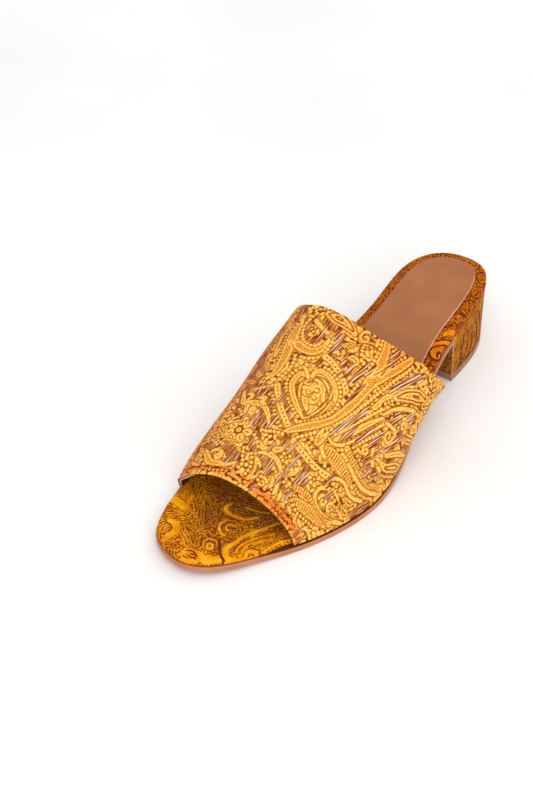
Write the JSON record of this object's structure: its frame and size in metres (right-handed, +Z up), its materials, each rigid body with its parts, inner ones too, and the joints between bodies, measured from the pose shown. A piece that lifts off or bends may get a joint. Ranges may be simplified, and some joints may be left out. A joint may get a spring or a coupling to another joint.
{
  "type": "block heel mule shoe",
  "caption": "Open-toe slip-on mule for the left foot, with a wide brocade vamp band, a covered footbed, a thin leather sole and a low covered block heel.",
  "frame": {"origin": "on the floor, under the centre of the shoe's box", "axes": "+Z up, -Y towards the toe, +X towards the outer (lateral) side"},
  "size_m": [0.0874, 0.2442, 0.0719],
  "materials": {
    "sole_leather": "burnished sole leather",
    "brocade_footbed": "woven brocade, mustard with brown figure",
    "sock_leather": "smooth matt leather",
    "brocade_heel": "woven brocade, mustard with brown figure",
    "tip_rubber": "matt top-piece rubber",
    "brocade_upper": "woven brocade, raised gold figure on rust"
  },
  "bodies": {
    "root": {"outsole": "sole_leather", "footbed": "brocade_footbed", "sock": "sock_leather", "heel_block": "brocade_heel", "heel_tip": "tip_rubber", "upper": "brocade_upper"}
  },
  "joints": []
}
